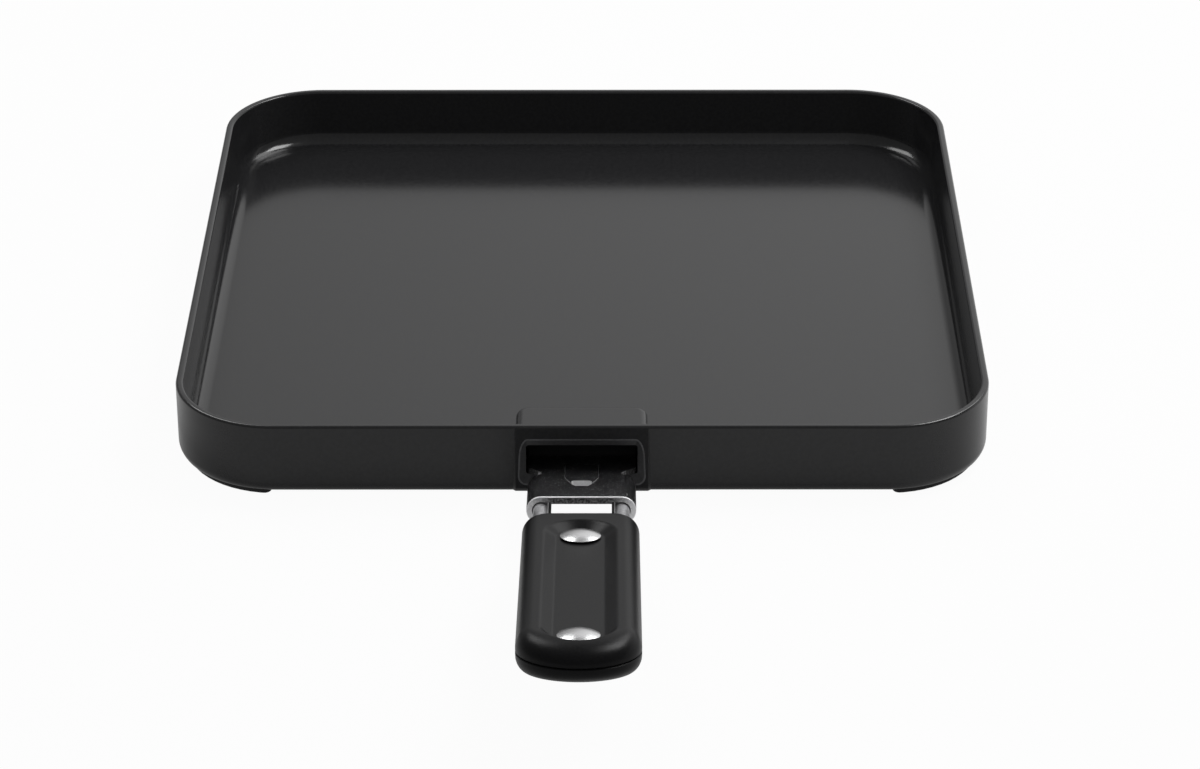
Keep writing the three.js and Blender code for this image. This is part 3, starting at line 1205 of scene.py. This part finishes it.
    def _tab_block(self, inset: float, past: float) -> BMesh:
        """Makes the tab's U-shaped block.

        Args:
            inset: How far it is drawn in from the lanced cut.
            past: How far it runs past both faces of the sheet.

        Returns:
            The closed mesh.
        """
        half = self.tab_half - inset
        root = -self.tab_root - (NEAR if inset else 0)
        bm = rectangle((-half, inset - self.tab_reach), (half, root), self.lift - past)
        tips = [v for v in bm.verts if v.co.y < 0]
        round_corners(bm, tips, half - NEAR, self.tip_steps)
        tip = inset - self.tab_reach
        for vert in bm.verts:
            if vert.co.y < tip + half:
                vert.co.y = tip + self.tip_length * (vert.co.x / half) ** 2
        extrude(bm, bm.faces[:], (0, 0, self.sheet + 2 * past))
        return bm

    def _finish_edges(self, bm: BMesh) -> None:
        """Rounds the bracket's cut edges and marks where bare steel shows, where highlight is painted and
        where shade is painted.

        Args:
            bm: The bracket.
        """
        top = self.lift + self.sheet
        outer = top - self.wire_level
        near = -self.curl_end
        lit_reach = self.wire_x + self.shoulder_lit
        lip = self.tongue_end - self.sheet - NEAR

        def on_near_rim(point: Vector) -> bool:
            """Tells whether a point is on the outside of the near edge.

            Args:
                point: The point.

            Returns:
                True where it is.
            """
            across = abs(point.x) - self.wire_x
            if point.y > near + NEAR or across < NEAR:
                return point.y < near + NEAR and point.z > top - NEAR
            return math.hypot(across, point.z - self.wire_level) > outer - NEAR

        def on_cut(point: Vector) -> bool:
            """Tells whether a point is on the upper edge of the shoulders, the neck or the lanced cut.

            Args:
                point: The point.

            Returns:
                True where it is.
            """
            if abs(point.x) > lit_reach + NEAR:
                return False
            return abs(point.z - top) < NEAR and near + NEAR < point.y < -self.tab_root - NEAR

        for face in bm.faces:
            middle = face.calc_center_median()
            upright = abs(face.normal.z) < LEANING and self.lift < middle.z < top
            beside_tab = -self.tab_reach - NEAR < middle.y < -self.tab_root - NEAR
            if middle.y < near + NEAR:
                face.material_index = SheetFace.TORN.value
            # The turned-up end inside the socket takes the even black oxide: painted shade.
            elif middle.y > lip:
                face.material_index = SheetFace.IN_SHADE.value
            # Cut walls next to the neck show streaked steel; the shoulders' outer walls keep the dark oxide
            # as painted shade of the socket's mouth.
            elif abs(middle.x) <= lit_reach and upright and beside_tab:
                face.material_index = SheetFace.CUT.value
        # The near rim's round takes the near-white sheared steel, a painted highlight line along the edge.
        for face in bevel(bm, edges_where(bm, on_near_rim), self.edge_round, self.edge_steps):
            face.material_index = SheetFace.SHEARED.value
        cuts = [edge for edge in edges_where(bm, on_cut) if edge.calc_face_angle(0) > SHEET_CORNER]
        for face in bevel(bm, cuts, self.fine_round, self.edge_steps):
            face.material_index = SheetFace.CUT.value


@dataclass
class WireFrame:
    """The wire: one length bent to a hairpin, from curl to curl through the grip."""

    socket: Socket
    radius: float = 2.5
    spread: float = 13.0
    level: float = -2.5
    start: float = 7.3
    bend: float = 155.2
    sides: int = 24
    bend_steps: int = 36
    end_round: float = 0.5
    end_steps: int = 3

    def build(self) -> BMesh:
        """Makes the hairpin: up one leg, round the bend and back down the other leg.

        Returns:
            One closed mesh.
        """
        bm = bmesh.new()
        seat = upright_at(-self.spread, -self.start, self.level)
        bmesh.ops.create_circle(bm, cap_ends=True, segments=self.sides, radius=self.radius, matrix=seat)
        leg = self.bend - self.start
        front = extrude(bm, bm.faces[:], (0, -leg, 0))
        turned = bmesh.ops.spin(
            bm,
            geom=whole(front),
            cent=(0, -self.bend, self.level),
            axis=(0, 0, 1),
            angle=math.pi,
            steps=self.bend_steps,
        )
        extrude(bm, members(turned["geom_last"], BMFace), (0, leg, 0))
        bmesh.ops.recalc_face_normals(bm, faces=bm.faces[:])
        ends = edges_where(bm, lambda p: p.y > -self.start - NEAR)
        bevel(bm, ends, self.end_round, self.end_steps)
        return bm

    def dress(self) -> bpy.types.Object:
        """Places the wire with its plating.

        Returns:
            The piece.
        """
        bm = self.build()
        bmesh.ops.transform(bm, matrix=self.socket.frame(), verts=bm.verts[:])
        return place(bm, Label("wire_hairpin", "wire_frame", Body.HANDLE, Slot.WIRE), [ZINC_WIRE])

    def holes(self, radius: float, front: float, depth: float) -> BMesh:
        """Makes the two holes that take the wire's legs into the grip.

        Args:
            radius: The holes' radius.
            front: How far out along the handle they start.
            depth: How far they go in.

        Returns:
            Two closed bars in one mesh.
        """
        bm = bmesh.new()
        for side in (-1, 1):
            seat = upright_at(side * self.spread, -front, self.level)
            add_bar(bm, radius, self.sides * 2, seat, (0, -depth, 0))
        return bm


def soft_min(a: float, b: float, blend: float) -> float:
    """Gives the lesser of two heights, with a round of this size where they cross."""
    near = max(blend - abs(a - b), 0) / blend
    return min(a, b) - near * near * blend / 4


@dataclass
class Rivets:
    """Two dome-head rivets that close the grip, and the washers under their closed ends.

    The closed end's profile is given as shares of its radius and heights in widths of the small edge round.
    """

    socket: Socket
    reaches: tuple[float, float] = (71.0, 160.2)
    head: float = 6.35
    rim: float = 0.4
    dome: float = 1.6
    shank: float = 2.5
    seat: float = 2.6
    closed_radius: float = 4.0
    closed_height: float = 1.2
    closed_top: float = -7.4
    closed_profile: tuple[tuple[float, float], ...] = ((0.0, 0.0), (0.6, 0.5), (0.9625, 2.0), (1.0, 4.0))
    washer: float = 6.0
    washer_top: float = -6.1
    washer_height: float = 1.0
    gap: float = 0.3
    edge: float = 0.15
    dome_steps: int = 12
    steps: int = 64

    def build_rivet(self) -> BMesh:
        """Makes one rivet about the z axis.

        Returns:
            One closed mesh.
        """
        radius = (self.head**2 + self.dome**2) / (2 * self.dome)
        centre = self.seat + self.rim + self.dome - radius
        span = math.asin(self.head / radius)
        bottom = self.closed_top - self.closed_height
        profile = [(self.closed_radius * r, bottom + self.edge * h) for r, h in self.closed_profile]
        profile += [
            (self.closed_radius, self.closed_top),
            (self.shank, self.closed_top),
            (self.shank, self.seat),
            (self.head - self.edge, self.seat),
            (self.head, self.seat + self.edge),
        ]
        for i in range(self.dome_steps, -1, -1):
            angle = span * i / self.dome_steps
            profile.append((radius * math.sin(angle), centre + radius * math.cos(angle)))
        return lathe(profile, self.steps)

    def build_washer(self) -> BMesh:
        """Makes one washer about the z axis.

        Returns:
            One closed mesh.
        """
        inner = self.shank + self.gap
        low = self.washer_top - self.washer_height
        profile = [
            (inner, low),
            (self.washer - self.edge, low),
            (self.washer, low + self.edge),
            (self.washer, self.washer_top - self.edge),
            (self.washer - self.edge, self.washer_top),
            (inner, self.washer_top),
        ]
        return lathe(profile, self.steps, closed=True)

    def dress(self) -> list[bpy.types.Object]:
        """Places both rivets and both washers.

        Returns:
            The four pieces.
        """
        pieces = []
        for end, reach in zip(("front", "rear"), self.reaches):
            seat = self.socket.frame() @ Matrix.Translation((0, -reach, 0))
            for bm, kind in ((self.build_rivet(), "rivet"), (self.build_washer(), "washer")):
                bmesh.ops.transform(bm, matrix=seat, verts=bm.verts[:])
                label = Label(f"{kind}_{end}", f"{end}_{kind}", Body.HANDLE, Slot.RIVET)
                pieces.append(place(bm, label, [POLISHED]))
        return pieces

    def bores(self, radius: float, low: float, high: float) -> BMesh:
        """Makes two upright bars on the rivets' axes, as a tool for holes.

        Args:
            radius: The bars' radius.
            low: Their lowest height.
            high: Their highest height.

        Returns:
            Two closed bars in one mesh.
        """
        bm = bmesh.new()
        for reach in self.reaches:
            foot = Matrix.Translation((0, -reach, low))
            add_bar(bm, radius, self.steps, foot, (0, 0, high - low))
        return bm


@dataclass
class Grip:
    """The grip: an upper moulding with a long recess and a lower one, closed on the wire by the rivets."""

    socket: Socket
    wire: WireFrame
    rivets: Rivets
    front: float = 52.8
    reach: float = 174.2
    half: float = 18.4
    level: float = -2.5
    upper: float = 7.0
    lower: float = 6.5
    front_corner: float = 5.0
    end_depth: float = 16.0
    side_round: float = 5.0
    end_round: float = 11.0
    front_round: float = 1.0
    land: float = 1.0
    parting: float = 0.15
    parting_edge: float = 0.25
    recess_depth: float = 2.2
    recess_floor: float = 7.6
    recess_slope: float = 3.7
    recess_rear: tuple[float, float] = (159.3, 156.1)
    rim_blend: float = 0.3
    floor_blend: float = 0.15
    gap: float = 0.3
    hole_depth: float = 9.0
    past: float = 1.0
    sharp: float = 32.0
    steps: tuple[int, int, int] = (18, 16, 18)
    dome_rings: int = 28
    recess_rings: int = 24
    lower_rings: int = 14
    opened_range: tuple[float, float] = (-1.0, 3.0)
    brim: float = 1.5
    floor_ring: float = 0.27

    def outline(self, drawn: float, inset: float = 0.0) -> list[tuple[float, float]]:
        """Draws the grip's plan outline, starting at the middle of its front.

        Args:
            drawn: Share of the rounds by which the outline is drawn in.
            inset: A further even inset.

        Returns:
            Points as distance across and distance out along the handle.
        """
        half = self.half - self.side_round * drawn - inset
        front = self.front + self.front_round * drawn + inset
        corner = self.front_corner - self.front_round * drawn - inset
        turn = self.reach - self.end_depth
        depth = self.end_depth - self.end_round * drawn - inset
        ahead, along, behind = self.steps
        flat = ahead // 2
        right = [((half - corner) * i / flat, front) for i in range(flat)]
        right += [
            (half - corner * (1 - math.sin(a)), front + corner * (1 - math.cos(a)))
            for a in quarter(ahead - flat)
        ]
        right += [(half, front + corner + (turn - front - corner) * i / along) for i in range(1, along)]
        right += [(half * math.cos(a), turn + depth * math.sin(a)) for a in quarter(behind)]
        left = [(-x, s) for x, s in reversed(right[1:-1])]
        return right + left

    def _recess_ends(self, opened: float) -> tuple[float, float, float]:
        """Gives the recess's outline at one level.

        Args:
            opened: Zero at its floor, one at its rim.

        Returns:
            Its front centre, its rear centre and its radius.
        """
        low, high = self.recess_rear
        rear = low + (high - low) * opened
        return self.rivets.reaches[0], rear, self.recess_floor + self.recess_slope * opened

    def recess_outline(self, opened: float) -> list[tuple[float, float]]:
        """Draws the recess's outline, with points that match the grip's outline.

        Args:
            opened: Zero at its floor, one at its rim.

        Returns:
            Points as distance across and distance out along the handle.
        """
        near, far, radius = self._recess_ends(opened)
        ahead, along, behind = self.steps
        right = [(radius * math.sin(a), near - radius * math.cos(a)) for a in quarter(ahead)]
        right += [(radius, near + (far - near) * i / along) for i in range(1, along)]
        right += [(radius * math.cos(a), far + radius * math.sin(a)) for a in quarter(behind)]
        left = [(-x, s) for x, s in reversed(right[1:-1])]
        return right + left

    def _opened_at(self, x: float, s: float) -> float:
        """Tells how far the recess has to be opened for its outline to reach a point of the plan.

        Args:
            x: Distance across.
            s: Distance out along the handle.

        Returns:
            Zero at the recess's floor, one at its rim.
        """

        def short_of_point(opened: float) -> bool:
            """Tells whether the outline, opened so far, falls short of the point."""
            near, far, radius = self._recess_ends(opened)
            return math.hypot(x, s - min(max(s, near), far)) >= radius

        return last_true(short_of_point, *self.opened_range)

    def _inside(self, x: float, s: float, drawn: float) -> bool:
        """Tells whether a point of the plan lies inside the grip's outline.

        Args:
            x: Distance across.
            s: Distance out along the handle.
            drawn: Share of the rounds by which the outline is drawn in.

        Returns:
            True where it does.
        """
        half = self.half - self.side_round * drawn
        front = self.front + self.front_round * drawn
        corner = self.front_corner - self.front_round * drawn
        turn = self.reach - self.end_depth
        if s < front or abs(x) > half:
            return False
        if s > turn:
            return (x / half) ** 2 + ((s - turn) / (self.end_depth - self.end_round * drawn)) ** 2 <= 1
        across, along = abs(x) - half + corner, front + corner - s
        return across < 0 or along < 0 or math.hypot(across, along) <= corner

    def _dome_at(self, x: float, s: float) -> float:
        """Gives the height of the upper moulding's rounded back at a point of the plan.

        Args:
            x: Distance across.
            s: Distance out along the handle.

        Returns:
            The height.
        """
        drawn = last_true(lambda share: self._inside(x, s, share), 0.0, 1.0)
        rise = self.upper - self.parting - self.land
        return self.level + self.parting + self.land + rise * math.sqrt(1 - (1 - drawn) ** 2)

    def _top_at(self, x: float, s: float) -> float:
        """Gives the height of the upper moulding at a point of the plan, recess included.

        Args:
            x: Distance across.
            s: Distance out along the handle.

        Returns:
            The height.
        """
        floor = self.level + self.upper - self.recess_depth
        side = -soft_min(0, -self._opened_at(x, s) * self.recess_depth, self.floor_blend)
        return soft_min(self._dome_at(x, s), floor + side, self.rim_blend)

    def build_upper(self) -> BMesh:
        """Makes the upper moulding in the handle's frame.

        Returns:
            One closed mesh.
        """
        parting = self.level + self.parting
        rings = [
            [Vector((x, -s, parting)) for x, s in self.outline(0, self.parting_edge)],
            [Vector((x, -s, parting + self.parting_edge)) for x, s in self.outline(0)],
            [Vector((x, -s, parting + self.land)) for x, s in self.outline(0)],
        ]
        edge = self.outline(0)
        brim = self.recess_outline(self.brim)
        for i in range(1, self.dome_rings + 1):
            share = (i / self.dome_rings) ** 2
            plan = [(x + (u - x) * share, s + (v - s) * share) for (x, s), (u, v) in zip(edge, brim)]
            rings.append([Vector((x, -s, self._top_at(x, s))) for x, s in plan])
        for i in range(1, self.recess_rings + 1):
            opened = self.brim - (self.brim + self.floor_ring) * i / self.recess_rings
            rings.append([Vector((x, -s, self._top_at(x, s))) for x, s in self.recess_outline(opened)])
        bm = loft(rings)
        bm = combine(bm, self._wire_holes(), Join.CUT)
        return combine(bm, self._rivet_holes(), Join.CUT)

    def build_lower(self) -> BMesh:
        """Makes the lower moulding in the handle's frame.

        Returns:
            One closed mesh.
        """
        parting = self.level - self.parting
        rise = self.lower - self.parting - self.land
        rings = [
            [Vector((x, -s, parting)) for x, s in self.outline(0, self.parting_edge)],
            [Vector((x, -s, parting - self.parting_edge)) for x, s in self.outline(0)],
        ]
        for a in quarter(self.lower_rings):
            height = parting - self.land - rise * math.sin(a)
            rings.append([Vector((x, -s, height)) for x, s in self.outline(1 - math.cos(a))])
        bm = loft(rings)
        bm = combine(bm, self._wire_holes(), Join.CUT)
        bm = combine(bm, self._rivet_holes(), Join.CUT)
        bottom = self.level - self.lower
        seat = self.rivets.washer_top + self.gap
        sinks = self.rivets.bores(self.rivets.washer + self.gap, bottom - self.past, seat)
        return combine(bm, sinks, Join.CUT)

    def dress(self) -> list[bpy.types.Object]:
        """Places both mouldings.

        Returns:
            Both pieces.
        """
        pieces = []
        for bm, label in (
            (self.build_upper(), Label("grip_moulding_upper", "upper_grip", Body.HANDLE, Slot.GRIP)),
            (self.build_lower(), Label("grip_moulding_lower", "lower_grip", Body.HANDLE, Slot.GRIP)),
        ):
            bmesh.ops.transform(bm, matrix=self.socket.frame(), verts=bm.verts[:])
            pieces.append(place(bm, label, [NYLON], self.sharp))
        return pieces

    def _wire_holes(self) -> BMesh:
        """Makes the tool for the wire's holes in the grip's front."""
        return self.wire.holes(self.wire.radius + self.gap, self.front - self.past, self.hole_depth)

    def _rivet_holes(self) -> BMesh:
        """Makes the tool for the rivets' shanks."""
        low = self.level - self.lower - self.past
        return self.rivets.bores(self.rivets.shank + self.gap, low, self.level + self.upper + self.past)


@dataclass(frozen=True)
class Lamp:
    """A square softbox that faces the middle of the pan.

    Attributes:
        name: Its name.
        spot: Where it hangs, in millimetres.
        side: Its side, in metres.
        power: Its power, in watts.
    """

    name: str
    spot: tuple[float, float, float]
    side: float
    power: float


@dataclass(frozen=True)
class Wash:
    """How the room's light changes along one direction.

    Attributes:
        direction: The direction towards the light; its length sets how fast it changes.
        dark_at: Where along it the light is least.
        bright_at: Where along it the light is full.
        least: The least light.
    """

    direction: tuple[float, float, float]
    dark_at: float
    bright_at: float
    least: float


@dataclass
class Studio:
    """The plain pale floor, the soft light and the camera.

    Attributes:
        eye: Where the camera stands, in millimetres.
        pitch: How far it looks down, in degrees.
        yaw: How far it turns left, in degrees.
        roll: How far it rolls, in degrees.
        focal: Focal length in pixels of the photograph's width.
        frame_width: That width in pixels.
        sensor: Width of the camera's sensor, in millimetres.
        ground: Height of the floor, in millimetres.
        floor_size: Side of the floor, in metres.
        paper: Colour with which the floor lights the part.
        glow_seen: How much of plain white the floor shows the camera.
        glow_mirrored: How much of it the floor shows in the part's mirrors.
        room_level: The least light from the room.
        washes: How the room's light changes.
        lamps: The softboxes.
    """

    eye: tuple[float, float, float] = (8.293, -1279.252, 652.045)
    pitch: float = 28.107
    yaw: float = 0.116
    roll: float = -0.079
    focal: float = 4018.7
    frame_width: float = 1200.0
    sensor: float = 36.0
    ground: float = -1.52
    floor_size: float = 8.0
    paper: str = "c0c0c0"
    glow_seen: float = 0.96
    glow_mirrored: float = 0.25
    room_level: float = 0.3
    washes: tuple[Wash, Wash] = (
        Wash((0.0, 1.0, -1.0), -0.4, 0.15, 0.0),
        Wash((2.0, 0.0, 1.1), -0.4, 0.9, 0.33),
    )
    lamps: tuple[Lamp, ...] = (
        Lamp("softbox_right", (560, 150, 950), 0.45, 8.0),
        Lamp("window_right", (470, 490, 710), 0.35, 1.4),
        Lamp("window_left", (-440, 440, 800), 0.4, 3.0),
    )

    def build(self) -> None:
        """Makes the floor, the world, the lamps and the camera."""
        self._add_floor()
        self._light_world()
        for lamp in self.lamps:
            self._add_lamp(lamp)
        self._add_camera()

    def _add_floor(self) -> None:
        """Makes the pale floor under the feet, which shows the camera white and lights the part less."""
        bm = bmesh.new()
        bmesh.ops.create_grid(bm, x_segments=1, y_segments=1, size=self.floor_size / 2)
        bmesh.ops.translate(bm, verts=bm.verts[:], vec=(0, 0, self.ground * MM))
        mesh = bpy.data.meshes.new("floor")
        bm.to_mesh(mesh)
        bm.free()
        material = bpy.data.materials.new("floor_pale")
        material.use_nodes = True
        tree = material.node_tree
        tree.nodes.clear()
        paper = add_node(tree, "ShaderNodeBsdfDiffuse", {"Color": linear(self.paper)}).outputs[0]
        glow = add_node(tree, "ShaderNodeEmission", {"Color": WHITE, "Strength": 1.0}).outputs[0]
        path = add_node(tree, "ShaderNodeLightPath").outputs
        direct = add_node(
            tree,
            "ShaderNodeMath",
            {0: path["Is Camera Ray"], 1: path["Is Transmission Ray"]},
            operation="MAXIMUM",
        ).outputs[0]
        seen = add_node(
            tree, "ShaderNodeMath", {0: direct, 1: self.glow_seen}, operation="MULTIPLY"
        ).outputs[0]
        shown = add_node(
            tree,
            "ShaderNodeMath",
            {0: path["Is Glossy Ray"], 1: self.glow_mirrored, 2: seen},
            operation="MULTIPLY_ADD",
        ).outputs[0]
        surface = add_node(tree, "ShaderNodeMixShader", {0: shown, 1: paper, 2: glow}).outputs[0]
        add_node(tree, "ShaderNodeOutputMaterial", {"Surface": surface})
        mesh.materials.append(material)
        floor = bpy.data.objects.new("floor", mesh)
        bpy.context.scene.collection.objects.link(floor)

    def _light_world(self) -> None:
        """Lights the scene from a room that shows the camera white.

        It is bright ahead and low down, dimmer on the left, and dim overhead and behind the camera.
        """
        world = bpy.data.worlds.new("studio")
        world.use_nodes = True
        tree = world.node_tree
        tree.nodes.clear()
        coords = add_node(tree, "ShaderNodeTexCoord").outputs["Generated"]
        shares = []
        for wash in self.washes:
            sides = {0: coords, 1: wash.direction}
            along = add_node(tree, "ShaderNodeVectorMath", sides, operation="DOT_PRODUCT").outputs["Value"]
            span = {0: along, 1: wash.dark_at, 2: wash.bright_at, 3: wash.least, 4: 1.0}
            share = add_node(tree, "ShaderNodeMapRange", span, interpolation_type="SMOOTHSTEP")
            shares.append(share.outputs[0])
        lit = add_node(tree, "ShaderNodeMath", dict(enumerate(shares)), operation="MULTIPLY").outputs[0]
        room = add_node(
            tree, "ShaderNodeMath", {0: lit, 1: self.room_level}, operation="MAXIMUM"
        ).outputs[0]
        path = add_node(tree, "ShaderNodeLightPath").outputs
        strength = add_node(
            tree, "ShaderNodeMath", {0: room, 1: path["Is Camera Ray"]}, operation="MAXIMUM"
        ).outputs[0]
        light = add_node(tree, "ShaderNodeBackground", {"Color": WHITE, "Strength": strength}).outputs[0]
        add_node(tree, "ShaderNodeOutputWorld", {"Surface": light})
        bpy.context.scene.world = world

    def _add_lamp(self, lamp: Lamp) -> None:
        """Hangs one softbox.

        Args:
            lamp: The softbox.
        """
        light = bpy.data.lights.new(lamp.name, "AREA")
        light.size = lamp.side
        light.energy = lamp.power
        obj = bpy.data.objects.new(lamp.name, light)
        spot = Vector(lamp.spot) * MM
        obj.location = spot
        obj.rotation_euler = (-spot).to_track_quat("-Z", "Y").to_euler()
        bpy.context.scene.collection.objects.link(obj)

    def _add_camera(self) -> None:
        """Sets the camera where the photograph was taken from."""
        camera = bpy.data.cameras.new("camera")
        camera.sensor_width = self.sensor
        camera.sensor_fit = "HORIZONTAL"
        camera.lens = self.focal * self.sensor / self.frame_width
        obj = bpy.data.objects.new("camera", camera)
        turn = Matrix.Rotation(math.radians(self.yaw), 4, "Z")
        tip = Matrix.Rotation(math.radians(90 - self.pitch), 4, "X")
        roll = Matrix.Rotation(math.radians(self.roll), 4, "Z")
        obj.matrix_world = Matrix.Translation(Vector(self.eye) * MM) @ turn @ tip @ roll
        bpy.context.scene.collection.objects.link(obj)
        bpy.context.scene.camera = obj


def main() -> None:
    """Builds the studio and the pieces in order."""
    logging.basicConfig(level=logging.INFO, format="%(message)s")
    bpy.context.scene.view_settings.view_transform = "Standard"
    Studio().build()
    socket = Socket()
    wire = WireFrame(socket)
    rivets = Rivets(socket)
    for assembly in (Pan(socket), Bracket(socket), wire, Grip(socket, wire, rivets), rivets):
        assembly.dress()
        LOG.info("%s dressed", type(assembly).__name__)


if __name__ == "__main__":
    main()
